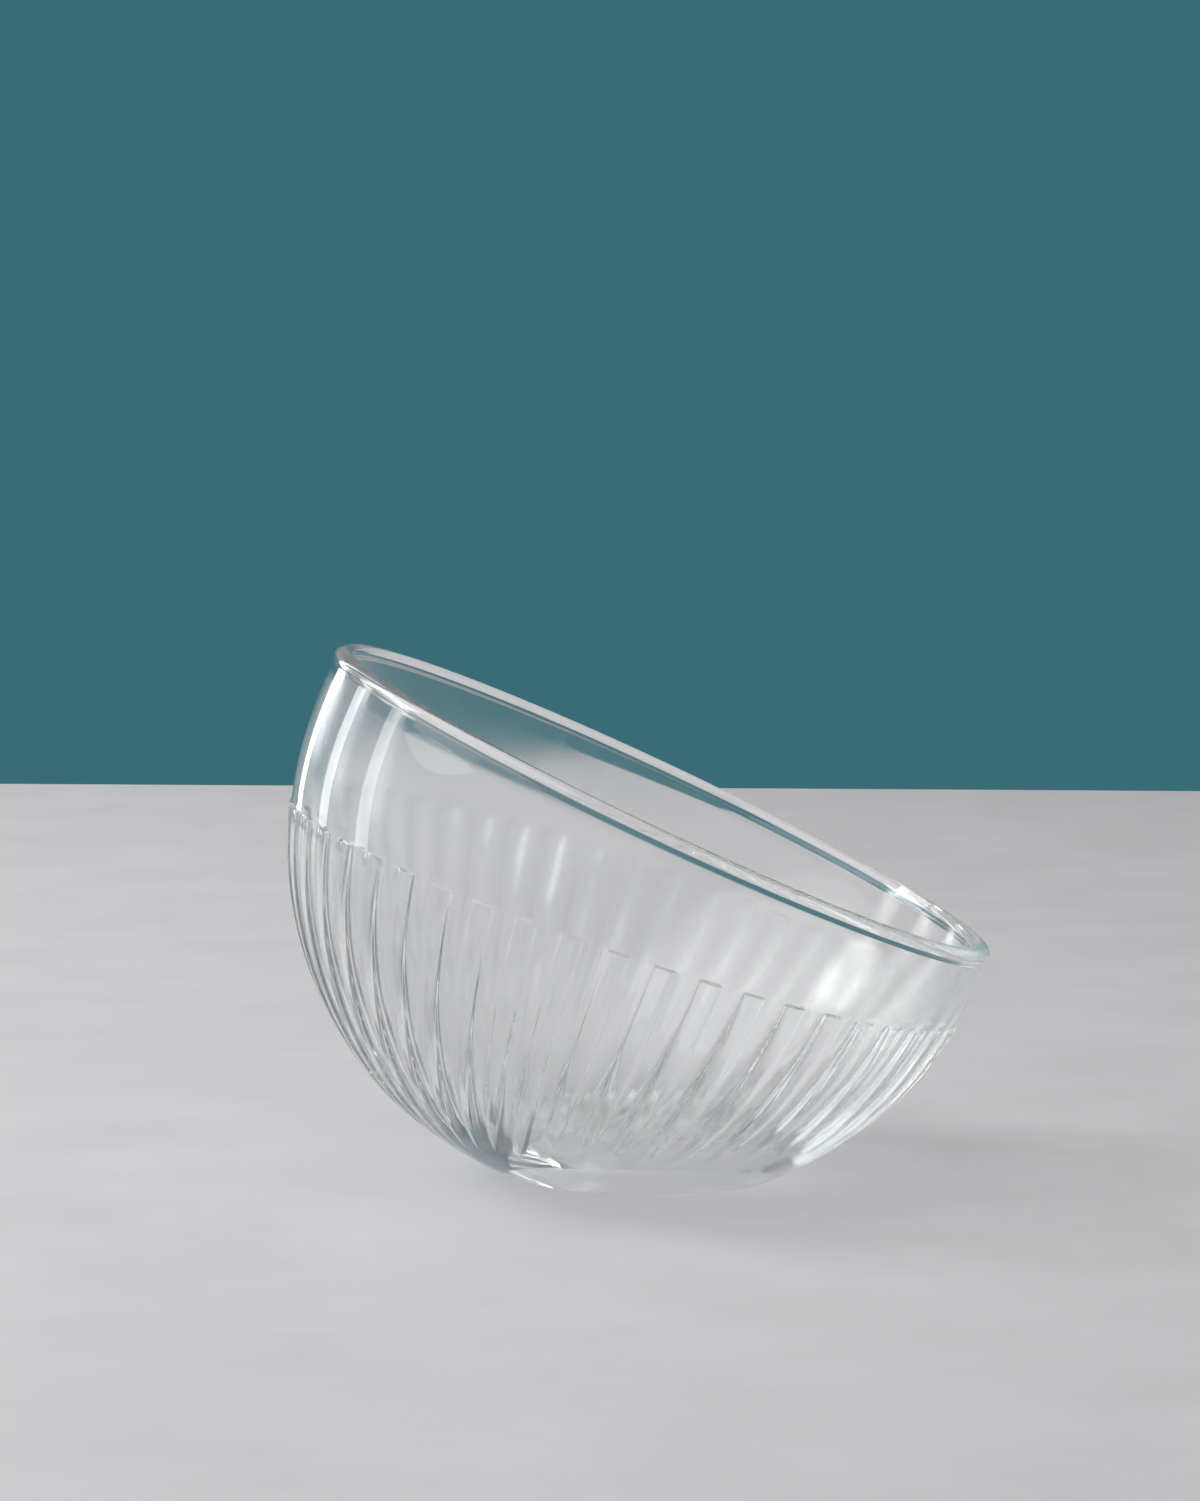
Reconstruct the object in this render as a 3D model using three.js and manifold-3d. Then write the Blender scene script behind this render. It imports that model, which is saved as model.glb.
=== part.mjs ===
// A nut bowl: one piece of clear pressed glass, a round body that leans to one side on a flat foot.
// Units are millimetres, +Z is up and +X points to the low side of the rim.
// The origin is the middle of the foot, on the surface that the bowl stands on.
import * as THREE from 'three';
import { mergeVertices } from 'three/addons/utils/BufferGeometryUtils.js';
import Module from 'manifold-3d';

const { clamp, degToRad, lerp, smoothstep } = THREE.MathUtils;

// Body, measured from its widest circle along its own leaning axis
const BODY_RADIUS = 65.4;
const BODY_DEPTH = 66.9;
const CLOSING_HEIGHT = 85;
const AXIS_TILT = degToRad(18.5);
const FOOT_RADIUS = 25;

// Hollow: the wall is a wedge, thinnest at the rim, and thickens on into the base
// WALL is measured at the widest circle, and BASE upwards from the foot to the pole of the hollow
const WALL = 3.3;
const WALL_TAPER = degToRad(2);
const BASE = 5.8;
const HOLLOW_FLATNESS = 2.05;

// Rim: a plane cut steeper than the body leans, with a rounded crown and a small outer bead
const RIM_TILT = degToRad(24.9);
const RIM_RISE = 8.25;
const BEAD_OUT = 0.45;
const BEAD_DROP = 1.3;

// Ribs: low flat-faced bars with square tops, which run out in points above the foot
// RIB_TIP is the height of those points above the foot, and RIB_POINT the stretch in which a rib runs out
const RIB_COUNT = 48;
const RIB_HEIGHT = 0.4;
const RIB_FACE = 3.6;
const RIB_FLANK = 0.3;
const RIB_TOP_DROP = 14.4;
const RIB_TOP_SLOPE = 0.5;
const RIB_TIP = 7.5;
const RIB_POINT = 9;

// Facets
const RIM_PASSES = 5;
const RIB_ROWS = 11;
const BAND_ROWS = 3;
const BEAD_ROWS = 3;
const CROWN_ROWS = 6;
const WALL_ROWS = 3;
const HOLLOW_ROWS = 8;
const MERGE_DISTANCE = 1e-4;

const COLOUR = 0xdde8e8;
const ROUGHNESS = 0.04;

// The body is an ellipsoid of revolution on the leaning axis, cut level by the foot
const LOWEST = Math.hypot(BODY_DEPTH * Math.cos(AXIS_TILT), BODY_RADIUS * Math.sin(AXIS_TILT));
const CENTRE_HEIGHT = LOWEST * Math.sqrt(1 - (FOOT_RADIUS / BODY_RADIUS) ** 2);
const CENTRE_SHIFT = CENTRE_HEIGHT * (BODY_DEPTH ** 2 - BODY_RADIUS ** 2)
  * Math.sin(AXIS_TILT) * Math.cos(AXIS_TILT) / LOWEST ** 2;
const CENTRE = new THREE.Vector3(CENTRE_SHIFT, 0, CENTRE_HEIGHT);
const HOLLOW_DEPTH = (CENTRE_HEIGHT - BASE) / Math.cos(AXIS_TILT);
const AXIS = new THREE.Vector3(Math.sin(AXIS_TILT), 0, Math.cos(AXIS_TILT));
const ACROSS = new THREE.Vector3(Math.cos(AXIS_TILT), 0, -Math.sin(AXIS_TILT));
const ASIDE = new THREE.Vector3(0, 1, 0);

const RIB_PITCH = 2 * Math.PI / RIB_COUNT;
const RIM_SLANT = RIM_TILT - AXIS_TILT;

// A point at a height along the axis and a radius from it, on the meridian at an angle
function at(height, radius, angle) {
  return CENTRE.clone()
    .addScaledVector(AXIS, height)
    .addScaledVector(ACROSS, radius * Math.cos(angle))
    .addScaledVector(ASIDE, radius * Math.sin(angle));
}

// Outer radius of the plain body at a height along the axis
function bodyRadius(height) {
  const reach = height < 0 ? BODY_DEPTH : CLOSING_HEIGHT;
  return BODY_RADIUS * Math.sqrt(Math.max(0, 1 - (height / reach) ** 2));
}

// Inner radius of the hollow, which rounds off to its bottom below the widest circle
function hollowRadius(height) {
  const wedge = height * Math.tan(WALL_TAPER) - WALL;
  if (height >= 0) return bodyRadius(height) + wedge;
  const share = Math.min(1, (-height / HOLLOW_DEPTH) ** HOLLOW_FLATNESS);
  return (BODY_RADIUS + wedge) * Math.sqrt(1 - share);
}

// The rim on one meridian: its height along the axis, and the radius of its rounded crown
function rimAt(angle) {
  let height = 0;
  for (let pass = 0; pass < RIM_PASSES; pass += 1) {
    const middle = (bodyRadius(height) + hollowRadius(height)) / 2;
    height = (RIM_RISE - middle * Math.cos(angle) * Math.sin(RIM_SLANT)) / Math.cos(RIM_SLANT);
  }
  const crown = (bodyRadius(height) - hollowRadius(height) + BEAD_OUT) / 2;
  return { height, crown };
}

// The four edges of each rib, and two plain columns a rib for everything else
const topRadius = bodyRadius(-RIB_TOP_DROP);
const halfFace = RIB_FACE / 2 / topRadius;
const halfRib = halfFace + RIB_FLANK / topRadius;
const ribEdges = [
  { turn: -halfRib, lift: 0 },
  { turn: -halfFace, lift: RIB_HEIGHT },
  { turn: halfFace, lift: RIB_HEIGHT },
  { turn: halfRib, lift: 0 },
];
const ribColumns = [];
const plainColumns = [];
for (let rib = 0; rib < RIB_COUNT; rib += 1) {
  const middle = rib * RIB_PITCH;
  ribColumns.push(...ribEdges.map(({ turn, lift }) => ({ angle: middle + turn, lift })));
  plainColumns.push(middle - RIB_PITCH / 4, middle + RIB_PITCH / 4);
}

// A ring of the ribbed body, the ribs raised away from the centre; share is how much their top slope leaves
function ribRing(height, share) {
  const radius = bodyRadius(height);
  return ribColumns.map(({ angle, lift }) => {
    const level = at(height, radius, angle).z;
    const raised = lift * share * clamp((level - RIB_TIP) / RIB_POINT, 0, 1);
    const grown = 1 + raised / Math.hypot(height, radius);
    return at(height * grown, radius * grown, angle);
  });
}

// A ring without ribs: each meridian has its own height, and a radius for that height
function plainRing(heightOn, radiusAt) {
  return plainColumns.map((angle) => {
    const rim = rimAt(angle);
    const height = heightOn(rim);
    return at(height, radiusAt(height, rim), angle);
  });
}

// Rings in order, from the outer pole up the outside, over the rim and down to the inner pole
const rings = [];
const topLatitude = Math.asin(RIB_TOP_DROP / BODY_DEPTH);
for (let row = 1; row <= RIB_ROWS; row += 1) {
  const latitude = lerp(Math.PI / 2, topLatitude, row / RIB_ROWS);
  rings.push(ribRing(-BODY_DEPTH * Math.sin(latitude), 1));
}
const bandStart = -RIB_TOP_DROP + RIB_TOP_SLOPE;
rings.push(ribRing(bandStart, 0));

const bandEnd = (rim) => rim.height - rim.crown - BEAD_DROP;
for (let row = 1; row <= BAND_ROWS; row += 1) {
  rings.push(plainRing((rim) => lerp(bandStart, bandEnd(rim), row / BAND_ROWS), bodyRadius));
}
for (let row = 1; row <= BEAD_ROWS; row += 1) {
  const share = row / BEAD_ROWS;
  const out = BEAD_OUT * smoothstep(share, 0, 1);
  rings.push(plainRing((rim) => bandEnd(rim) + BEAD_DROP * share, (height) => bodyRadius(height) + out));
}
for (let row = 1; row <= CROWN_ROWS; row += 1) {
  const turn = Math.PI * row / CROWN_ROWS;
  const inward = 1 - Math.cos(turn);
  const down = 1 - Math.sin(turn);
  const radiusAt = (height, rim) => bodyRadius(height) + BEAD_OUT - rim.crown * inward;
  rings.push(plainRing((rim) => rim.height - rim.crown * down, radiusAt));
}

for (let row = 1; row <= WALL_ROWS; row += 1) {
  const share = row / WALL_ROWS;
  rings.push(plainRing((rim) => lerp(rim.height - rim.crown, -RIB_TOP_DROP, share), hollowRadius));
}
const hollowLatitude = Math.asin((RIB_TOP_DROP / HOLLOW_DEPTH) ** (HOLLOW_FLATNESS / 2));
for (let row = 1; row < HOLLOW_ROWS; row += 1) {
  const latitude = lerp(hollowLatitude, Math.PI / 2, row / HOLLOW_ROWS);
  const height = -HOLLOW_DEPTH * Math.sin(latitude) ** (2 / HOLLOW_FLATNESS);
  rings.push(plainRing(() => height, hollowRadius));
}

// Skin the rings into one closed body; a ring of four columns a rib meets one of two with three triangles
function closedBody(lowPole, highPole) {
  const positions = [];
  const indices = [];
  const put = (point) => positions.push(point.x, point.y, point.z) / 3 - 1;
  const first = rings.map((ring) => ring.map(put)[0]);
  const corner = (ring, i) => first[ring] + i % rings[ring].length;

  for (let ring = 0; ring + 1 < rings.length; ring += 1) {
    const step = rings[ring].length / rings[ring + 1].length;
    for (let i = 0; i < rings[ring + 1].length; i += 1) {
      for (let part = 0; part < step; part += 1) {
        const start = i * step + part;
        indices.push(corner(ring, start), corner(ring, start + 1), corner(ring + 1, i + part));
      }
      indices.push(corner(ring, i * step + 1), corner(ring + 1, i + 1), corner(ring + 1, i));
    }
  }
  const low = put(lowPole);
  const high = put(highPole);
  const last = rings.length - 1;
  rings[0].forEach((_, i) => indices.push(low, corner(0, i + 1), corner(0, i)));
  rings[last].forEach((_, i) => indices.push(high, corner(last, i), corner(last, i + 1)));

  const geometry = new THREE.BufferGeometry();
  geometry.setAttribute('position', new THREE.Float32BufferAttribute(positions, 3));
  geometry.setIndex(indices);
  return geometry;
}

const wasm = await Module();
wasm.setup();

function toSolid(geometry) {
  const bare = geometry.clone();
  bare.deleteAttribute('normal');
  bare.deleteAttribute('uv');
  const merged = mergeVertices(bare, MERGE_DISTANCE);
  return new wasm.Manifold(new wasm.Mesh({
    numProp: 3,
    vertProperties: new Float32Array(merged.attributes.position.array),
    triVerts: new Uint32Array(merged.index.array),
  }));
}

function toGeometry(solid) {
  const { vertProperties, triVerts } = solid.getMesh();
  const geometry = new THREE.BufferGeometry();
  geometry.setAttribute('position', new THREE.BufferAttribute(vertProperties, 3));
  geometry.setIndex(new THREE.BufferAttribute(triVerts, 1));
  geometry.computeVertexNormals();
  return geometry;
}

// The foot: a block wider than the body grinds off everything below the level z = 0
function groundFoot(geometry) {
  const side = 4 * BODY_RADIUS;
  const below = new THREE.BoxGeometry(side, side, BODY_DEPTH).translate(0, 0, -BODY_DEPTH / 2);
  return toGeometry(toSolid(geometry).subtract(toSolid(below)));
}

const body = closedBody(at(-BODY_DEPTH, 0, 0), at(-HOLLOW_DEPTH, 0, 0));
const glass = new THREE.MeshStandardMaterial({ color: COLOUR, roughness: ROUGHNESS, metalness: 0 });
const bowl = new THREE.Mesh(groundFoot(body), glass);
bowl.name = 'glass_bowl';

const nutBowl = new THREE.Group();
nutBowl.add(bowl);

export default nutBowl;
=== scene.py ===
"""A clear pressed-glass nut bowl on a plain studio stage, laid out as an add-on and run as a script."""

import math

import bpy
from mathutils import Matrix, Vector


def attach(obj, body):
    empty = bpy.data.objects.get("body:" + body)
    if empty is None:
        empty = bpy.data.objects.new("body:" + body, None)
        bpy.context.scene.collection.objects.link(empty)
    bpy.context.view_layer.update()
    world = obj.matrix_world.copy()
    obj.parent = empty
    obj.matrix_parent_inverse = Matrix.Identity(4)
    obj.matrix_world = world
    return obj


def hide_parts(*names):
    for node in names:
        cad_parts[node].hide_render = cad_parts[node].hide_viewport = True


bl_info = {
    "name": "Nut Bowl",
    "version": (1, 0, 0),
    "blender": (4, 5, 0),
    "location": "3D View > Sidebar > Nut Bowl",
    "description": "Builds a leaning, ribbed glass nut bowl and a plain studio stage around it",
    "category": "Add Mesh",
}

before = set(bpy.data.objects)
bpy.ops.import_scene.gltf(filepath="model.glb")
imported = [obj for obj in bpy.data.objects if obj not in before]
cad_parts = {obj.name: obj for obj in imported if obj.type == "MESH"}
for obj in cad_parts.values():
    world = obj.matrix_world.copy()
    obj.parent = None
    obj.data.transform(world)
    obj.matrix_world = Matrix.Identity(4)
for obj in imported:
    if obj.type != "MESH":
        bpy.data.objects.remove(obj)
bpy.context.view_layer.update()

NODE = "glass_bowl"
BODY = "root"
MM = 0.001

# The photograph's frame, and the sensor that its longer side is taken to fill
IMAGE_HEIGHT_PX = 1501
SENSOR_MM = 36

# Directions from the bowl to the large lamp, overhead on the left, and to the smaller one, lower on the left
KEY_FROM = (-0.6, -0.2, 0.9)
SIDE_FROM = (-0.75, 0.25, 0.62)
STRIP_COUNT = 3
GLASS_BOUNCES = 32


def linear(hex_colour):
    """An sRGB hex colour as linear red, green, blue and alpha."""
    channels = [int(hex_colour[i:i + 2], 16) / 255 for i in (1, 3, 5)]
    return [c / 12.92 if c <= 0.04045 else ((c + 0.055) / 1.055) ** 2.4 for c in channels] + [1.0]


def size(name, description, millimetres):
    """A length that a user can set, given here in millimetres."""
    return bpy.props.FloatProperty(
        name=name, description=description, default=millimetres * MM, unit="LENGTH", precision=5)


def angle(name, description, degrees):
    """An angle that a user can set, given here in degrees."""
    return bpy.props.FloatProperty(
        name=name, description=description, default=math.radians(degrees), subtype="ANGLE")


def count(name, description, number):
    """A whole number that a user can set."""
    return bpy.props.IntProperty(name=name, description=description, default=number, min=1)


def share(name, description, number):
    """A plain number that a user can set."""
    return bpy.props.FloatProperty(name=name, description=description, default=number, precision=4)


def colour(name, description, hex_colour):
    """A colour that a user can set, given here as sRGB hex."""
    return bpy.props.FloatVectorProperty(
        name=name, description=description, default=linear(hex_colour),
        size=4, subtype="COLOR", min=0, max=1)


class BowlShape(bpy.types.PropertyGroup):
    """Sizes of the glass, measured from the body's widest circle along its own leaning axis."""

    body_radius: size("Body Radius", "Radius of the widest circle", 65.4)
    body_depth: size("Body Depth", "From the widest circle down to the pole of the round body", 66.9)
    closing_height: size("Closing Height", "Half height of the ellipse above the widest circle", 85)
    axis_tilt: angle("Axis Tilt", "Lean of the body's axis towards the low side of the rim", 18.5)
    foot_radius: size("Foot Radius", "Radius of the flat that the bowl stands on", 25)
    wall: size("Wall", "Thickness of the glass at the widest circle", 3.3)
    wall_taper: angle("Wall Taper", "Angle between the inner and outer wall", 2)
    base: size("Base", "Glass between the foot and the pole of the hollow", 5.8)
    hollow_flatness: share("Hollow Flatness", "Power of the hollow's round, 2 for an ellipse", 2.05)
    rim_tilt: angle("Rim Tilt", "Slant of the rim's plane", 24.9)
    rim_rise: size("Rim Rise", "Distance of the rim's plane above the middle of the widest circle", 8.25)
    bead_out: size("Bead Out", "How far the rim's bead stands out from the wall", 0.45)
    bead_drop: size("Bead Drop", "Height over which the bead runs into the wall", 1.3)
    rib_count: count("Rib Count", "Ribs all round the body", 48)
    rib_height: size("Rib Height", "Height of a rib's flat face over the round body", 0.4)
    rib_face: size("Rib Face", "Width of a rib's flat face at its top", 3.6)
    rib_flank: size("Rib Flank", "Width of the slope on each side of the face", 0.3)
    rib_top_drop: size("Rib Top Drop", "Top of the ribs, below the widest circle", 14.4)
    rib_top_slope: size("Rib Top Slope", "Height of the slope that closes a rib's top", 0.5)
    rib_tip: size("Rib Tip", "Height above the table of the points that the ribs end in", 7.5)
    rib_point: size("Rib Point", "Height of the stretch in which a rib narrows to its point", 9)
    rib_crisp: size("Rib Crisp", "Height above the table over which a rib has crisp edges", 22)
    rib_soft: size("Rib Soft", "Height above the table under which a rib is a soft wave", 9)


class GlassFinish(bpy.types.PropertyGroup):
    """Finish of the glass."""

    ior: share("IOR", "Index of refraction of soda-lime glass", 1.52)
    tint: colour("Tint", "Colour that the light takes on through thick glass", "#e4e8e8")
    tint_density: share("Tint Density", "Strength of the tint per metre", 15)
    ripple_pitch: size("Ripple Pitch", "Width of the slow waves that the mould leaves", 16)
    ripple_height: size("Ripple Height", "Height of those waves", 0.012)
    scuff_pitch: size("Scuff Pitch", "Spacing of the fine scuffs under the foot", 0.6)
    wear: share("Wear", "Roughness of the wall of the hollow, from use", 0.12)


class StageLook(bpy.types.PropertyGroup):
    """The stage, its light and the camera."""

    floor_reach: size("Floor Reach", "From the middle of the bowl to each edge of the floor", 753)
    floor_thickness: size("Floor Thickness", "Thickness of the floor's slab", 30)
    foot_gap: size("Foot Gap", "Air between the floor and the foot", 0.1)
    floor_colour: colour("Floor Colour", "Pale grey of the floor", "#c6c6c8")
    backdrop_colour: colour("Backdrop Colour", "Plain board behind the bowl", "#3a6c77")
    overhead: share("Overhead", "Brightness of the surroundings overhead", 0.6)
    pale_side: share("Pale Side", "Brightness of the surroundings in front on the left", 0.75)
    dim_side: share("Dim Side", "Brightness of the surroundings behind on the right", 0.28)
    dark_ring: share("Dark Ring", "How much of that is left above the low boards round the bowl", 0.35)
    lamp_size: size("Lamp Size", "Width of the soft lamp overhead", 2000)
    lamp_distance: size("Lamp Distance", "From the bowl to each lamp, along the floor for the strips", 1300)
    lamp_power: share("Lamp Power", "Power of the soft lamp in watts", 16)
    side_size: size("Side Lamp Size", "Width of the smaller soft lamp on the left", 500)
    side_power: share("Side Lamp Power", "Power of that lamp in watts", 3)
    strip_width: size("Strip Width", "Width of each upright strip lamp", 140)
    strip_height: size("Strip Height", "Height of each upright strip lamp", 1500)
    strip_power: share("Strip Power", "Power of each strip lamp in watts", 2.2)
    strip_turn: angle("Strip Turn", "Turn of the first strip lamp to the left of straight behind", 32)
    strip_spread: angle("Strip Spread", "Turn from each strip lamp to the next", 24)
    camera_distance: size("Camera Distance", "From the camera to the point that it looks at", 932)
    camera_aside: size("Camera Aside", "That point, across the bowl", -8.19)
    camera_height: size("Camera Height", "That point, above the floor", 77.38)
    camera_pitch: angle("Camera Pitch", "How far the camera looks down", 4.95)
    camera_roll: angle("Camera Roll", "Turn of the camera about its own line of sight", 0.25)
    camera_turn: angle("Camera Turn", "Turn of the camera round the bowl", 1.06)
    camera_focal_px: share("Camera Focal Length", "Focal length in pixels of the photograph", 5118)


class NutBowlSettings(bpy.types.PropertyGroup):
    """All settings of the scene."""

    shape: bpy.props.PointerProperty(type=BowlShape)
    glass: bpy.props.PointerProperty(type=GlassFinish)
    stage: bpy.props.PointerProperty(type=StageLook)


def add(tree, kind, *values, **settings):
    """Add a node with its settings, and give its first output.

    Values fill its inputs in order, as links or numbers, and None leaves an input as it is.
    """
    node = tree.nodes.new(kind)
    for name, value in settings.items():
        setattr(node, name, value)
    for socket, value in zip([s for s in node.inputs if s.enabled], values):
        if isinstance(value, bpy.types.NodeSocket):
            tree.links.new(value, socket)
        elif value is not None:
            socket.default_value = value
    outputs = [s for s in node.outputs if s.enabled]
    return outputs[0] if outputs else None


# Sizes that the bowl's tree takes as they are; the others reach it through worked_out
TREE_SIZES = (
    "body_radius", "closing_height", "axis_tilt", "hollow_flatness", "rim_rise", "bead_out", "bead_drop",
    "rib_count", "rib_height", "rib_top_slope", "rib_tip", "rib_crisp", "rib_soft",
)
# Rows of the bowl's grid in each stretch of its outline, from the foot's middle to the bottom of the hollow
ROWS = {
    "foot": 6, "ribbed": 56, "top_slope": 4, "band": 14, "bead": 6, "crown": 14, "wall": 12, "hollow": 34,
}
# Columns in each stretch of a rib: one flank, the face, the other flank and the gap to the next rib
COLUMNS = {"flank": 3, "face": 3, "far_flank": 3, "gap": 3}
# Share of the band in which the columns become even, and how rows crowd towards the tops of the ribs
BAND_BLEND = 0.4
BAND_GRADING = 1.5
RIBBED_GRADING = 1.25
# A rounded flank this many times as wide as a straight one is as steep in its middle
ROUNDED_FLANK = 1.5
# Passes in which the height of the slanted rim settles
RIM_PASSES = 2
MERGE_DISTANCE = 1e-7
# Name of the value that marks the wall of the hollow, and the shares in which it fades in and out
WORN = "worn"
WORN_BELOW_RIM = 0.2
WORN_ABOVE_BOTTOM = (0.3, 0.6)


def stretches(tree, counter, lengths):
    """Split a counter into stretches of so many steps, each going from 0 to 1 and then staying there."""
    shares = {}
    start = 0
    for name, steps in lengths.items():
        shares[name] = add(tree, "ShaderNodeMapRange", counter, start, start + steps, 0.0, 1.0)
        start += steps
    return shares


def outer_radius(tree, s, height):
    """Radius of the plain round body at a height along the axis."""
    below = add(tree, "ShaderNodeMath", height, s["minus_depth"], operation="DIVIDE")
    above = add(tree, "ShaderNodeMath", height, s["closing_height"], operation="DIVIDE")
    sine = add(tree, "ShaderNodeMath", below, above, operation="MAXIMUM")
    latitude = add(tree, "ShaderNodeMath", sine, operation="ARCSINE")
    cosine = add(tree, "ShaderNodeMath", latitude, operation="COSINE")
    return add(tree, "ShaderNodeMath", s["body_radius"], cosine, operation="MULTIPLY")


def inner_radius(tree, s, height, outer):
    """Radius of the hollow at a height: a wedge of wall above the widest circle, a round bottom below."""
    wedge = add(tree, "ShaderNodeMath", height, s["taper_slope"], s["minus_wall"], operation="MULTIPLY_ADD")
    upper = add(tree, "ShaderNodeMath", outer, wedge, operation="ADD")
    widest = add(tree, "ShaderNodeMath", s["body_radius"], wedge, operation="ADD")
    sunk = add(tree, "ShaderNodeMath", height, s["minus_hollow_depth"], operation="DIVIDE")
    inside = add(tree, "ShaderNodeClamp", sunk, 0.0, 1.0)
    power = add(tree, "ShaderNodeMath", inside, s["hollow_flatness"], operation="POWER")
    left = add(tree, "ShaderNodeMath", 1.0, power, operation="SUBTRACT")
    root = add(tree, "ShaderNodeMath", left, operation="SQRT")
    lower = add(tree, "ShaderNodeMath", widest, root, operation="MULTIPLY")
    is_below = add(tree, "FunctionNodeCompare", height, 0.0, data_type="FLOAT", operation="LESS_THAN")
    return add(tree, "GeometryNodeSwitch", is_below, upper, lower, input_type="FLOAT")


def rim_height(tree, s, cosine):
    """Height of the slanted rim on a meridian, from the cosine of its angle."""
    height = s["rim_rise"]
    for _ in range(RIM_PASSES):
        outer = outer_radius(tree, s, height)
        middle = add(tree, "ShaderNodeMath", outer, s["half_wall"], operation="SUBTRACT")
        reach = add(tree, "ShaderNodeMath", middle, cosine, operation="MULTIPLY")
        drop = add(tree, "ShaderNodeMath", reach, s["slant_sine"], operation="MULTIPLY")
        rise = add(tree, "ShaderNodeMath", s["rim_rise"], drop, operation="SUBTRACT")
        height = add(tree, "ShaderNodeMath", rise, s["slant_cosine"], operation="DIVIDE")
    return height


def foot_latitude(tree, s, cosine):
    """Latitude at which a meridian of the round body meets the level of the foot."""
    across = add(tree, "ShaderNodeMath", s["lean_across"], cosine, operation="MULTIPLY")
    turn = add(tree, "ShaderNodeMath", across, s["lean_down"], operation="ARCTAN2")
    turn_cosine = add(tree, "ShaderNodeMath", turn, operation="COSINE")
    longest = add(tree, "ShaderNodeMath", s["lean_down"], turn_cosine, operation="DIVIDE")
    sine = add(tree, "ShaderNodeMath", s["centre_height"], longest, operation="DIVIDE")
    slope = add(tree, "ShaderNodeMath", sine, operation="ARCSINE")
    return add(tree, "ShaderNodeMath", slope, turn, operation="SUBTRACT")


def ribbed_latitude(tree, s, cosine, below_top):
    """Latitude on the ribbed stretch of a meridian, from its top down to the foot."""
    foot = foot_latitude(tree, s, cosine)
    return add(tree, "ShaderNodeMix", below_top, s["top_latitude"], foot, data_type="FLOAT")


def ribbed_level(tree, s, cosine, below_top):
    """Height above the table of a point on the ribbed stretch of a meridian."""
    latitude = ribbed_latitude(tree, s, cosine, below_top)
    sine = add(tree, "ShaderNodeMath", latitude, operation="SINE")
    down = add(tree, "ShaderNodeMath", sine, s["lean_down"], operation="MULTIPLY")
    out = add(tree, "ShaderNodeMath", latitude, operation="COSINE")
    across = add(tree, "ShaderNodeMath", out, cosine, operation="MULTIPLY")
    fall = add(tree, "ShaderNodeMath", across, s["lean_across"], down, operation="MULTIPLY_ADD")
    return add(tree, "ShaderNodeMath", s["centre_height"], fall, operation="SUBTRACT")


def worked_out(shape):
    """Values that follow from the sizes, such as the leaning body's centre and the depth of the hollow."""
    tilt = shape.axis_tilt
    slant = shape.rim_tilt - tilt
    lean_down = shape.body_depth * math.cos(tilt)
    lean_across = shape.body_radius * math.sin(tilt)
    lowest = math.hypot(lean_down, lean_across)
    centre_height = lowest * math.sqrt(1 - (shape.foot_radius / shape.body_radius) ** 2)
    squares = shape.body_depth ** 2 - shape.body_radius ** 2
    hollow_depth = (centre_height - shape.base) / math.cos(tilt)
    top_sine = shape.rib_top_drop / shape.body_depth
    top_radius = shape.body_radius * math.sqrt(1 - top_sine ** 2)
    pitch = 2 * math.pi / shape.rib_count
    flank_turn = shape.rib_flank * ROUNDED_FLANK / top_radius
    face_turn = (shape.rib_face + shape.rib_flank) / top_radius - flank_turn
    even_turn = pitch / len(COLUMNS)
    return {
        "lean_down": lean_down,
        "lean_across": lean_across,
        "centre_height": centre_height,
        "centre_shift": centre_height * squares * math.sin(tilt) * math.cos(tilt) / lowest ** 2,
        "minus_depth": -shape.body_depth,
        "minus_wall": -shape.wall,
        "half_wall": shape.wall / 2,
        "taper_slope": math.tan(shape.wall_taper),
        "minus_hollow_depth": -hollow_depth,
        "slant_sine": math.sin(slant),
        "slant_cosine": math.cos(slant),
        "top_latitude": math.asin(top_sine),
        "minus_top": -shape.rib_top_drop,
        "hollow_latitude": math.asin((shape.rib_top_drop / hollow_depth) ** (shape.hollow_flatness / 2)),
        "hollow_power": 2 / shape.hollow_flatness,
        "rib_pitch": pitch,
        "face_turn": face_turn,
        "flank_turn": flank_turn,
        "gap_turn": pitch - face_turn - 2 * flank_turn,
        "first_turn": -face_turn / 2 - flank_turn,
        "even_turn": even_turn,
        "even_start": -even_turn / 2 - even_turn,
        "point_end": shape.rib_tip + shape.rib_point,
    }


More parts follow.
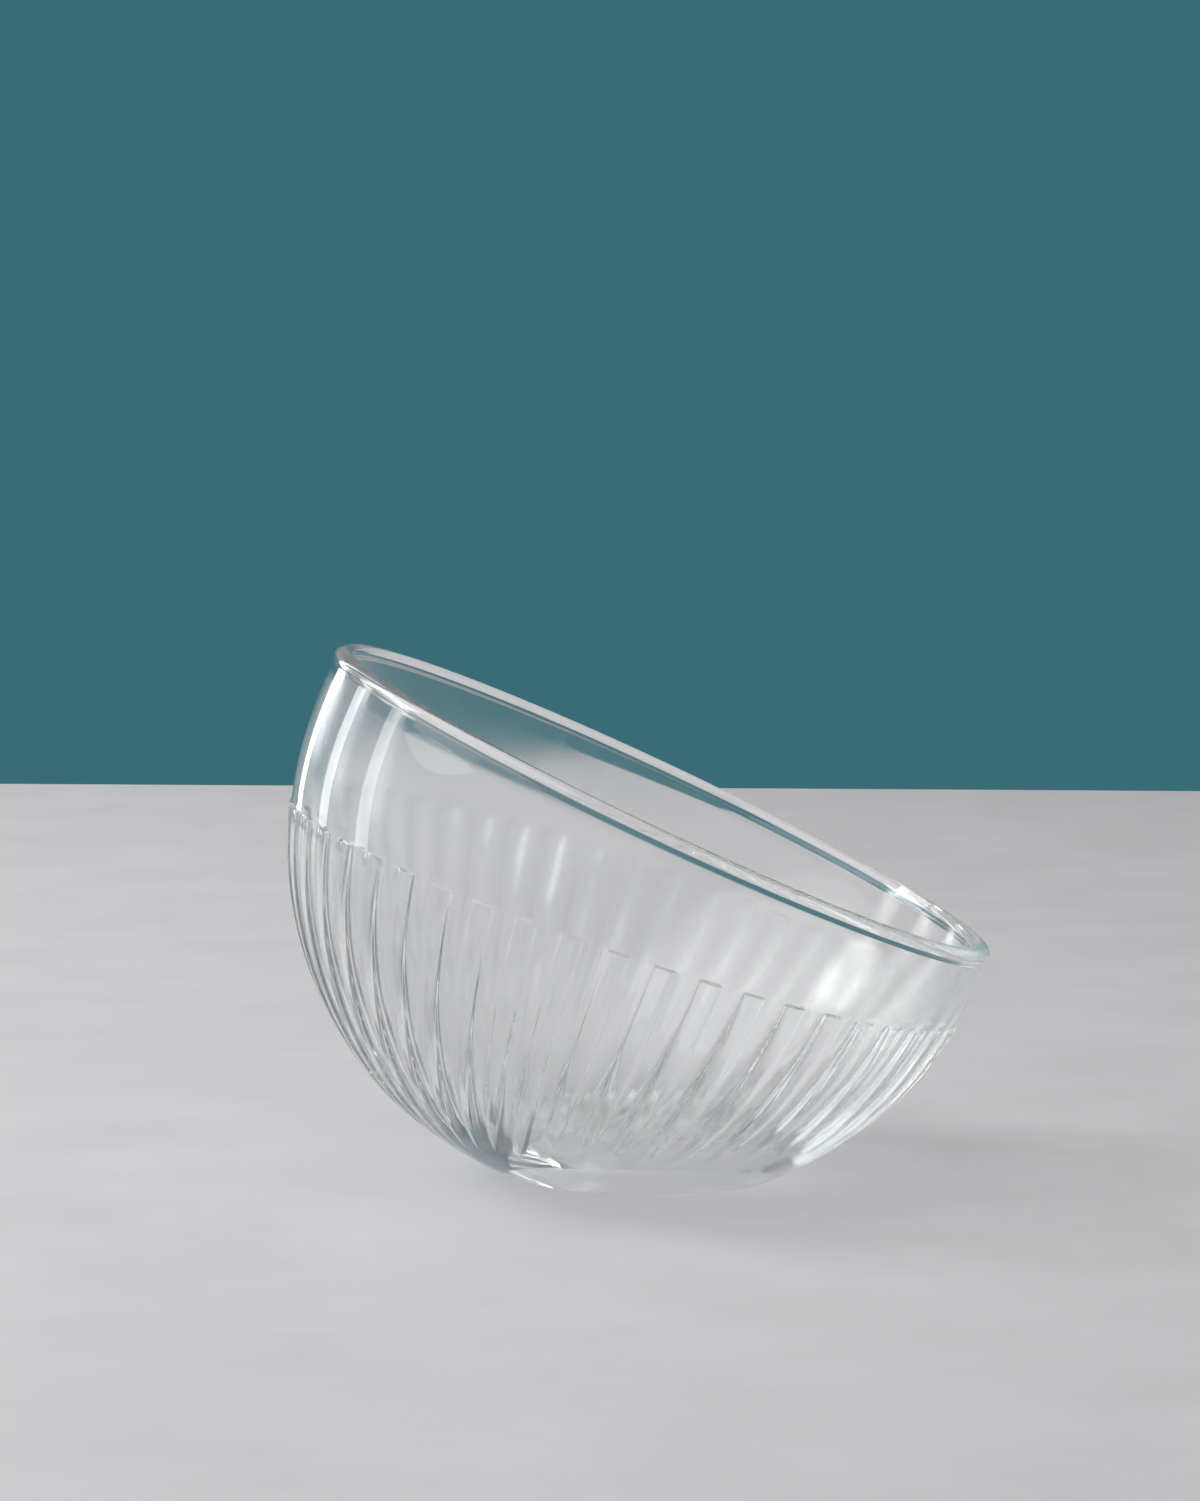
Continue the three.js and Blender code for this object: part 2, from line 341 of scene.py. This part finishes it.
def bowl_tree(values, material):
    """One grid makes the bowl: columns round its axis, rows up the outside, over the rim and down inside."""
    tree = bpy.data.node_groups.new("Nut bowl", "GeometryNodeTree")
    tree.interface.new_socket("Bowl", in_out="OUTPUT", socket_type="NodeSocketGeometry")
    identifiers = {}
    for name, value in values.items():
        kind = "NodeSocketInt" if isinstance(value, int) else "NodeSocketFloat"
        label = name.replace("_", " ").capitalize()
        identifiers[name] = tree.interface.new_socket(label, in_out="INPUT", socket_type=kind).identifier
    inputs = tree.nodes.new("NodeGroupInput").outputs
    s = {name: inputs[i] for i, name in enumerate(values)}

    # Shares across and along the grid, a unit square about the origin
    row_count = sum(ROWS.values())
    columns_each = sum(COLUMNS.values())
    column_count = add(tree, "ShaderNodeMath", s["rib_count"], columns_each, operation="MULTIPLY")
    corners = add(tree, "ShaderNodeMath", column_count, 1.0, operation="ADD")
    grid = add(tree, "GeometryNodeMeshGrid", 1.0, 1.0, corners, row_count + 1)
    position = add(tree, "GeometryNodeInputPosition")
    place = add(tree, "ShaderNodeSeparateXYZ", position)
    across = add(tree, "ShaderNodeMath", place, 0.5, operation="ADD")
    along = add(tree, "ShaderNodeMath", place.node.outputs["Y"], 0.5, operation="ADD")
    row = stretches(tree, add(tree, "ShaderNodeMath", along, row_count, operation="MULTIPLY"), ROWS)

    # The meridian of each column: crisp flanks under a rib's top, and even columns farther down and above
    ribs = add(tree, "ShaderNodeMath", across, s["rib_count"], operation="MULTIPLY")
    whole = add(tree, "ShaderNodeMath", ribs, operation="FLOOR")
    part = add(tree, "ShaderNodeMath", ribs, operation="FRACT")
    step = stretches(tree, add(tree, "ShaderNodeMath", part, columns_each, operation="MULTIPLY"), COLUMNS)
    nominal = add(tree, "ShaderNodeMath", ribs, s["rib_pitch"], operation="MULTIPLY")
    side = add(tree, "ShaderNodeMath", nominal, operation="COSINE")
    below_top = add(tree, "ShaderNodeMath", 1.0, row["ribbed"], operation="SUBTRACT")
    graded = add(tree, "ShaderNodeMath", below_top, RIBBED_GRADING, operation="POWER")
    above_table = ribbed_level(tree, s, side, graded)
    softer = add(tree, "ShaderNodeMapRange", above_table, s["rib_crisp"], s["rib_soft"], 0.0, 1.0,
                 interpolation_type="SMOOTHSTEP")
    plainer = add(tree, "ShaderNodeMapRange", row["band"], 0.0, BAND_BLEND, 0.0, 1.0)
    even = add(tree, "ShaderNodeMath", softer, plainer, operation="MAXIMUM")
    start = add(tree, "ShaderNodeMix", even, s["first_turn"], s["even_start"], data_type="FLOAT")
    turn = add(tree, "ShaderNodeMath", whole, s["rib_pitch"], start, operation="MULTIPLY_ADD")
    widths = {"flank": "flank_turn", "face": "face_turn", "far_flank": "flank_turn", "gap": "gap_turn"}
    for name, width in widths.items():
        wide = add(tree, "ShaderNodeMix", even, s[width], s["even_turn"], data_type="FLOAT")
        turn = add(tree, "ShaderNodeMath", step[name], wide, turn, operation="MULTIPLY_ADD")
    rising = add(tree, "ShaderNodeMapRange", step["flank"], interpolation_type="SMOOTHSTEP")
    falling = add(tree, "ShaderNodeMapRange", step["far_flank"], interpolation_type="SMOOTHSTEP")
    bar = add(tree, "ShaderNodeMath", rising, falling, operation="SUBTRACT")
    cosine = add(tree, "ShaderNodeMath", turn, operation="COSINE")

    # Height along the axis: each stretch of rows adds its own climb or fall
    latitude = ribbed_latitude(tree, s, cosine, graded)
    sine = add(tree, "ShaderNodeMath", latitude, operation="SINE")
    height = add(tree, "ShaderNodeMath", sine, s["minus_depth"], operation="MULTIPLY")
    height = add(tree, "ShaderNodeMath", row["top_slope"], s["rib_top_slope"], height,
                 operation="MULTIPLY_ADD")
    band_start = add(tree, "ShaderNodeMath", s["minus_top"], s["rib_top_slope"], operation="ADD")
    rim = rim_height(tree, s, cosine)
    rim_outer = outer_radius(tree, s, rim)
    rim_inner = inner_radius(tree, s, rim, rim_outer)
    rim_wall = add(tree, "ShaderNodeMath", rim_outer, rim_inner, operation="SUBTRACT")
    edge = add(tree, "ShaderNodeMath", rim_wall, s["bead_out"], operation="ADD")
    crown = add(tree, "ShaderNodeMath", edge, 0.5, operation="MULTIPLY")
    bead_end = add(tree, "ShaderNodeMath", rim, crown, operation="SUBTRACT")
    band_end = add(tree, "ShaderNodeMath", bead_end, s["bead_drop"], operation="SUBTRACT")
    band = add(tree, "ShaderNodeMath", band_end, band_start, operation="SUBTRACT")
    band_share = add(tree, "ShaderNodeMath", row["band"], BAND_GRADING, operation="POWER")
    height = add(tree, "ShaderNodeMath", band_share, band, height, operation="MULTIPLY_ADD")
    height = add(tree, "ShaderNodeMath", row["bead"], s["bead_drop"], height, operation="MULTIPLY_ADD")
    roll = add(tree, "ShaderNodeMath", row["crown"], math.pi, operation="MULTIPLY")
    hump = add(tree, "ShaderNodeMath", roll, operation="SINE")
    height = add(tree, "ShaderNodeMath", hump, crown, height, operation="MULTIPLY_ADD")
    fall = add(tree, "ShaderNodeMath", s["minus_top"], bead_end, operation="SUBTRACT")
    height = add(tree, "ShaderNodeMath", row["wall"], fall, height, operation="MULTIPLY_ADD")
    depth_latitude = add(tree, "ShaderNodeMix", row["hollow"], s["hollow_latitude"], math.pi / 2,
                         data_type="FLOAT")
    depth_sine = add(tree, "ShaderNodeMath", depth_latitude, operation="SINE")
    depth_share = add(tree, "ShaderNodeMath", depth_sine, s["hollow_power"], operation="POWER")
    sunk = add(tree, "ShaderNodeMath", depth_share, s["minus_hollow_depth"], operation="MULTIPLY")
    deeper = add(tree, "ShaderNodeMath", sunk, s["minus_top"], operation="SUBTRACT")
    height = add(tree, "ShaderNodeMath", height, deeper, operation="ADD")

    # Radius: the bead stands out of the outer wall, and the crown rolls over from there to the inner wall
    bead = add(tree, "ShaderNodeMapRange", row["bead"], interpolation_type="SMOOTHSTEP")
    outer = outer_radius(tree, s, height)
    outside = add(tree, "ShaderNodeMath", bead, s["bead_out"], outer, operation="MULTIPLY_ADD")
    inside = inner_radius(tree, s, height, outer)
    over = add(tree, "ShaderNodeMath", roll, operation="COSINE")
    rolled = add(tree, "ShaderNodeMapRange", over, 1.0, -1.0, 0.0, 1.0)
    radius = add(tree, "ShaderNodeMix", rolled, outside, inside, data_type="FLOAT")

    # Turn each point about the axis, lean the axis and lift the body onto its foot
    meridian = add(tree, "ShaderNodeCombineXYZ", radius, 0.0, height)
    upright = add(tree, "ShaderNodeVectorRotate", meridian, (0, 0, 0), turn, rotation_type="Z_AXIS")
    leaning = add(tree, "ShaderNodeVectorRotate", upright, (0, 0, 0), s["axis_tilt"], rotation_type="Y_AXIS")
    centre = add(tree, "ShaderNodeCombineXYZ", s["centre_shift"], 0.0, s["centre_height"])
    standing = add(tree, "ShaderNodeVectorMath", leaning, centre, operation="ADD")

    # Raise the ribs away from the centre, with a slope at their tops, and let them run out in points
    level = add(tree, "ShaderNodeSeparateXYZ", standing).node.outputs["Z"]
    lost = add(tree, "ShaderNodeMapRange", level, s["rib_tip"], s["point_end"], 1.0, 0.0)
    top = add(tree, "ShaderNodeMapRange", row["top_slope"], 0.0, 1.0, 1.0, 0.0,
              interpolation_type="SMOOTHSTEP")
    left = add(tree, "ShaderNodeMath", bar, lost, operation="SUBTRACT")
    left = add(tree, "ShaderNodeMath", left, 0.0, operation="MAXIMUM")
    left = add(tree, "ShaderNodeMath", left, top, operation="MULTIPLY")
    raised = add(tree, "ShaderNodeMath", left, s["rib_height"], operation="MULTIPLY")
    outward = add(tree, "ShaderNodeVectorMath", leaning, operation="NORMALIZE")
    raising = add(tree, "ShaderNodeVectorMath", outward, raised, operation="SCALE")
    ribbed = add(tree, "ShaderNodeVectorMath", standing, raising, operation="ADD")
    spread = add(tree, "ShaderNodeVectorMath", ribbed, row["foot"], operation="SCALE")

    # The wall of the hollow is worn: it fades in below the rim and out above the bottom
    below_rim = add(tree, "ShaderNodeMapRange", row["wall"], 0.0, WORN_BELOW_RIM, 0.0, 1.0)
    above_bottom = add(tree, "ShaderNodeMapRange", row["hollow"], *WORN_ABOVE_BOTTOM, 1.0, 0.0)
    worn = add(tree, "ShaderNodeMath", below_rim, above_bottom, operation="MULTIPLY")
    bowl = add(tree, "GeometryNodeStoreNamedAttribute", grid, True, WORN, worn,
               data_type="FLOAT", domain="POINT")
    bowl = add(tree, "GeometryNodeSetPosition", bowl, True, spread)
    bowl = add(tree, "GeometryNodeMergeByDistance", bowl, True, MERGE_DISTANCE)
    finished_level = add(tree, "ShaderNodeSeparateXYZ", position).node.outputs["Z"]
    is_foot = add(tree, "FunctionNodeCompare", finished_level, MERGE_DISTANCE, data_type="FLOAT",
                  operation="LESS_EQUAL")
    bowl = add(tree, "GeometryNodeSetShadeSmooth", bowl, True, True, domain="FACE")
    bowl = add(tree, "GeometryNodeSetShadeSmooth", bowl, is_foot, False, domain="EDGE")
    bowl = add(tree, "GeometryNodeRealizeInstances", bowl)
    bowl = add(tree, "GeometryNodeSetMaterial", bowl, True, material)
    add(tree, "NodeGroupOutput", bowl)
    return tree, identifiers


# Detail and roughness of the noise in the slow waves, and in the scuffs under the foot
WAVE_NOISE = (1.0, 0.4)
SCUFF_NOISE = (2.0, 0.6)
# Heights between which the scuffs run out, how much noise makes a scuff, and how rough one is
SCUFF_LEVELS = (0.1 * MM, 0.4 * MM)
SCUFF_RANGE = (0.45, 0.7)
SCUFF_ROUGHNESS = 0.06


def pressed_glass(finish):
    """Soda-lime glass, pressed and fire-polished: clear and bright, with slow waves and a little wear."""
    material = bpy.data.materials.new("clear pressed soda-lime glass")
    material.use_nodes = True
    tree = material.node_tree
    shader = tree.nodes["Principled BSDF"]
    output = tree.nodes["Material Output"]
    place = add(tree, "ShaderNodeTexCoord").node.outputs["Object"]

    # Slow waves left by the mould, which make what is seen through the wall swim a little
    waves = add(tree, "ShaderNodeTexNoise", place, 1 / finish.ripple_pitch, *WAVE_NOISE)
    bump = add(tree, "ShaderNodeBump", 1.0, finish.ripple_height, None, waves)
    tree.links.new(bump, shader.inputs["Normal"])

    # The foot is slightly dull in fine scuffs, the wall of the hollow is worn, and the rest is polished
    scuffs = add(tree, "ShaderNodeTexNoise", place, 1 / finish.scuff_pitch, *SCUFF_NOISE)
    level = add(tree, "ShaderNodeSeparateXYZ", place).node.outputs["Z"]
    underside = add(tree, "ShaderNodeMapRange", level, *SCUFF_LEVELS, 1.0, 0.0)
    dull = add(tree, "ShaderNodeMapRange", scuffs, *SCUFF_RANGE, 0.0, SCUFF_ROUGHNESS)
    roughness = add(tree, "ShaderNodeMath", underside, dull, operation="MULTIPLY")
    hollow = add(tree, "ShaderNodeAttribute", attribute_name=WORN).node.outputs["Fac"]
    roughness = add(tree, "ShaderNodeMath", hollow, finish.wear, roughness, operation="MULTIPLY_ADD")
    tree.links.new(roughness, shader.inputs["Roughness"])

    shader.inputs["Base Color"].default_value = (1, 1, 1, 1)
    shader.inputs["Transmission Weight"].default_value = 1
    shader.inputs["IOR"].default_value = finish.ior
    tint = add(tree, "ShaderNodeVolumeAbsorption", list(finish.tint), finish.tint_density)
    tree.links.new(tint, output.inputs["Volume"])
    return material


class NUTBOWL_OT_glass_bowl(bpy.types.Operator):
    """Make the glass bowl in place of its plain solid"""

    bl_idname = "nut_bowl.glass_bowl"
    bl_label = "Glass Bowl"

    def execute(self, context):
        shape = context.scene.nut_bowl.shape
        material = pressed_glass(context.scene.nut_bowl.glass)
        values = {name: getattr(shape, name) for name in TREE_SIZES}
        values.update(worked_out(shape))
        tree, identifiers = bowl_tree(values, material)

        maker = bpy.data.objects.new("bowl_maker", bpy.data.meshes.new("bowl_maker"))
        context.collection.objects.link(maker)
        modifier = maker.modifiers.new("Nut bowl", "NODES")
        modifier.node_group = tree
        for name, value in values.items():
            modifier[identifiers[name]] = value
        made = maker.evaluated_get(context.evaluated_depsgraph_get())
        mesh = bpy.data.meshes.new_from_object(made)
        bpy.data.objects.remove(maker)
        if not mesh.polygons:
            raise RuntimeError("the bowl's node tree made no faces")

        mesh.name = "pressed_glass_bowl"
        bowl = bpy.data.objects.new("pressed_glass_bowl", mesh)
        context.collection.objects.link(bowl)
        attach(bowl, BODY)
        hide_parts(NODE)
        return {"FINISHED"}


# The floor's faint mottle: its size, detail and roughness, the span of its noise, and how far that shades
MOTTLE_PITCH = 40 * MM
MOTTLE_NOISE = (3.0, 0.6)
MOTTLE_RANGE = (0.3, 0.7)
MOTTLE_SHADES = (0.96, 1.04)
FLOOR_ROUGHNESS = 0.65


def pale_floor(look):
    """Matt painted board: an even pale grey with a faint mottle."""
    material = bpy.data.materials.new("pale matt painted board")
    material.use_nodes = True
    tree = material.node_tree
    shader = tree.nodes["Principled BSDF"]
    place = add(tree, "ShaderNodeTexCoord").node.outputs["Object"]
    mottle = add(tree, "ShaderNodeTexNoise", place, 1 / MOTTLE_PITCH, *MOTTLE_NOISE)
    level = add(tree, "ShaderNodeMapRange", mottle, *MOTTLE_RANGE, *MOTTLE_SHADES)
    shade = add(tree, "ShaderNodeMix", 1.0, list(look.floor_colour), level,
                data_type="RGBA", blend_type="MULTIPLY")
    tree.links.new(shade, shader.inputs["Base Color"])
    shader.inputs["Roughness"].default_value = FLOOR_ROUGHNESS
    return material


def floor_slab(look):
    """A square slab, its top a hair under the foot, so that the glass keeps air under it."""
    reach, top = look.floor_reach, -look.foot_gap
    low = top - look.floor_thickness
    square = ((-1, -1), (1, -1), (1, 1), (-1, 1))
    corners = [(x * reach, y * reach, z) for z in (low, top) for x, y in square]
    sides = [(i, (i + 1) % 4, (i + 1) % 4 + 4, i + 4) for i in range(4)]
    mesh = bpy.data.meshes.new("floor")
    mesh.from_pydata(corners, [], [(3, 2, 1, 0), (4, 5, 6, 7), *sides])
    mesh.materials.append(pale_floor(look))
    return bpy.data.objects.new("floor", mesh)


# Direction to the palest surroundings, in front on the left, and how squarely others face it, dim to pale
PALE_FROM = (-0.75, -0.66, 0)
PALE_BLEND = (-0.6, 0.8)
# Sines of the angles above level at which the low boards end, and at which the overhead light begins
RING_BLEND = (0.22, 0.42)
OVERHEAD_BLEND = (0.75, 0.95)
# How far back a direction points where the board behind the bowl begins, and the sines at which its top ends
BOARD_BLEND = (0.2, 0.45)
BOARD_TOP = (0.07, 0.15)


def studio_world(look):
    """Plain surroundings with soft white light from above, and a plain board behind the bowl."""
    world = bpy.data.worlds.new("studio")
    world.use_nodes = True
    tree = world.node_tree
    background = tree.nodes["Background"]
    towards = add(tree, "ShaderNodeTexCoord").node.outputs["Generated"]
    parts = add(tree, "ShaderNodeSeparateXYZ", towards).node.outputs
    behind = parts["Y"]
    up = parts["Z"]

    # Surroundings: pale in front on the left, dimmer behind on the right, darker above the low boards
    dot = add(tree, "ShaderNodeVectorMath", towards, PALE_FROM, operation="DOT_PRODUCT")
    sideways = dot.node.outputs["Value"]
    beside = add(tree, "ShaderNodeMapRange", sideways, *PALE_BLEND, look.dim_side, look.pale_side,
                 interpolation_type="SMOOTHSTEP")
    ring = add(tree, "ShaderNodeMapRange", up, *RING_BLEND, 1.0, look.dark_ring,
               interpolation_type="SMOOTHSTEP")
    around = add(tree, "ShaderNodeMath", beside, ring, operation="MULTIPLY")
    overhead = add(tree, "ShaderNodeMapRange", up, *OVERHEAD_BLEND, 0.0, 1.0,
                   interpolation_type="SMOOTHSTEP")
    pale = add(tree, "ShaderNodeMix", overhead, around, look.overhead, data_type="FLOAT")

    # A plain board behind the bowl, a little higher than the frame of the photograph
    facing = add(tree, "ShaderNodeMapRange", behind, *BOARD_BLEND, 0.0, 1.0, interpolation_type="SMOOTHSTEP")
    under = add(tree, "ShaderNodeMapRange", up, *BOARD_TOP, 1.0, 0.0, interpolation_type="SMOOTHSTEP")
    board = add(tree, "ShaderNodeMath", facing, under, operation="MULTIPLY")
    lit = add(tree, "ShaderNodeMix", board, pale, list(look.backdrop_colour), data_type="RGBA")
    tree.links.new(lit, background.inputs["Color"])
    return world


def round_lamp(name, towards, width, power, distance):
    """A round soft lamp that shines on the bowl from one direction."""
    light = bpy.data.lights.new(name, "AREA")
    light.shape = "DISK"
    light.size = width
    light.energy = power
    lamp = bpy.data.objects.new(name, light)
    lamp.location = Vector(towards).normalized() * distance
    lamp.rotation_euler = lamp.location.to_track_quat("Z", "Y").to_euler()
    return lamp


def strip_lamp(look, number):
    """A narrow upright soft lamp that stands behind the bowl on the left, for crisp lines in the glass."""
    light = bpy.data.lights.new("strip_lamp", "AREA")
    light.shape = "RECTANGLE"
    light.size = look.strip_width
    light.size_y = look.strip_height
    light.energy = look.strip_power
    lamp = bpy.data.objects.new("strip_lamp", light)
    turn = look.strip_turn + number * look.strip_spread
    facing = Vector((-math.sin(turn), math.cos(turn), 0))
    lamp.location = facing * look.lamp_distance
    lamp.location.z = look.strip_height / 2
    lamp.rotation_euler = facing.to_track_quat("Z", "Y").to_euler()
    return lamp


def photo_camera(look):
    """A camera at the photograph's viewing angle and framing."""
    pitch, roll = look.camera_pitch, look.camera_roll
    sight = Vector((0, math.cos(pitch), -math.sin(pitch)))
    level = Vector((1, 0, 0))
    raised = Vector((0, math.sin(pitch), math.cos(pitch)))
    right = level * math.cos(roll) + raised * math.sin(roll)
    up = raised * math.cos(roll) - level * math.sin(roll)
    target = Vector((look.camera_aside, 0, look.camera_height))
    place = Matrix((right, up, -sight)).transposed().to_4x4()
    place.translation = target - sight * look.camera_distance

    lens = bpy.data.cameras.new("photo_camera")
    lens.sensor_fit = "VERTICAL"
    lens.sensor_height = SENSOR_MM
    lens.lens = look.camera_focal_px * SENSOR_MM / IMAGE_HEIGHT_PX
    camera = bpy.data.objects.new("photo_camera", lens)
    camera.matrix_world = Matrix.Rotation(look.camera_turn, 4, "Z") @ place
    return camera


class NUTBOWL_OT_stage(bpy.types.Operator):
    """Make the floor, the lamps, the surroundings and the camera"""

    bl_idname = "nut_bowl.stage"
    bl_label = "Stage"

    def execute(self, context):
        scene = context.scene
        look = scene.nut_bowl.stage
        floor = floor_slab(look)
        camera = photo_camera(look)
        lamps = [strip_lamp(look, number) for number in range(STRIP_COUNT)]
        lamps.append(round_lamp("key_lamp", KEY_FROM, look.lamp_size, look.lamp_power, look.lamp_distance))
        lamps.append(round_lamp("side_lamp", SIDE_FROM, look.side_size, look.side_power, look.lamp_distance))
        for item in (floor, *lamps, camera):
            context.collection.objects.link(item)
        scene.camera = camera
        scene.world = studio_world(look)
        scene.view_settings.view_transform = "Standard"
        # Light goes many times to and fro in the glass, and what comes through it lights the floor
        for bounces in ("max_bounces", "transmission_bounces", "glossy_bounces"):
            setattr(scene.cycles, bounces, GLASS_BOUNCES)
        scene.cycles.blur_glossy = 0
        return {"FINISHED"}


class NUTBOWL_PT_panel(bpy.types.Panel):
    """Settings and operators of the nut bowl"""

    bl_idname = "NUTBOWL_PT_panel"
    bl_label = "Nut Bowl"
    bl_space_type = "VIEW_3D"
    bl_region_type = "UI"
    bl_category = "Nut Bowl"

    def draw(self, context):
        settings = context.scene.nut_bowl
        for operator in (NUTBOWL_OT_glass_bowl, NUTBOWL_OT_stage):
            self.layout.operator(operator.bl_idname)
        for group in (settings.shape, settings.glass, settings.stage):
            box = self.layout.box()
            for name in type(group).__annotations__:
                box.prop(group, name)


CLASSES = (
    BowlShape, GlassFinish, StageLook, NutBowlSettings,
    NUTBOWL_OT_glass_bowl, NUTBOWL_OT_stage, NUTBOWL_PT_panel,
)


def register():
    for cls in CLASSES:
        bpy.utils.register_class(cls)
    bpy.types.Scene.nut_bowl = bpy.props.PointerProperty(type=NutBowlSettings)


def unregister():
    del bpy.types.Scene.nut_bowl
    for cls in reversed(CLASSES):
        bpy.utils.unregister_class(cls)


def main():
    register()
    bpy.ops.nut_bowl.glass_bowl()
    bpy.ops.nut_bowl.stage()


if __name__ == "__main__":
    main()
